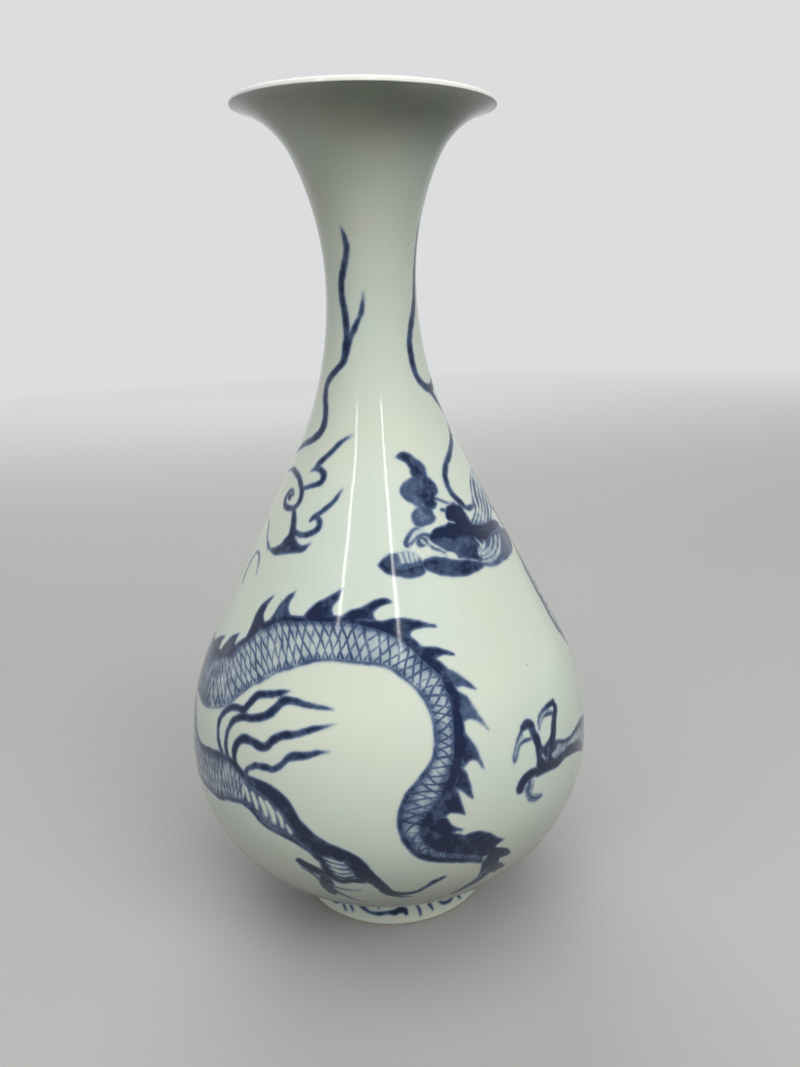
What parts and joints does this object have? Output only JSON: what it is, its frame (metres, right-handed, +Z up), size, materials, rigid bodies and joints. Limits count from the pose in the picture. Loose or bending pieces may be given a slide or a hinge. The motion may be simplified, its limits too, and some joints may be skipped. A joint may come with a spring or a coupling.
{
  "type": "pear-shaped bottle vase",
  "caption": "Pear-shaped porcelain bottle vase on a ring foot, with a slender neck and a trumpet mouth, for flowers or display.",
  "frame": {"origin": "centre of the ring that the vase stands on, in the plane of that ring", "axes": "+Z up along the axis of the turned form; -Y towards the viewer of the painted front"},
  "size_m": [0.1588, 0.1588, 0.3],
  "materials": {
    "porcelain": "fired porcelain body, matt",
    "bare_porcelain": "bare fired porcelain, fine and matt, toasted at the glaze's edge",
    "slip": "fired slip, matt",
    "painted_glaze": "glossy pale greenish-white glaze over cobalt brush painting",
    "clear_glaze": "glossy pale greenish-white glaze"
  },
  "bodies": {
    "root": {"foot_ring": "bare_porcelain", "lower_belly": "porcelain", "upper_belly": "porcelain", "shoulder": "porcelain", "neck_and_mouth": "porcelain", "foot_seam": "slip", "belly_seam": "slip", "shoulder_seam": "slip", "neck_seam": "slip", "outer_glaze": "painted_glaze", "inner_glaze": "clear_glaze", "base_glaze": "clear_glaze"}
  },
  "joints": []
}
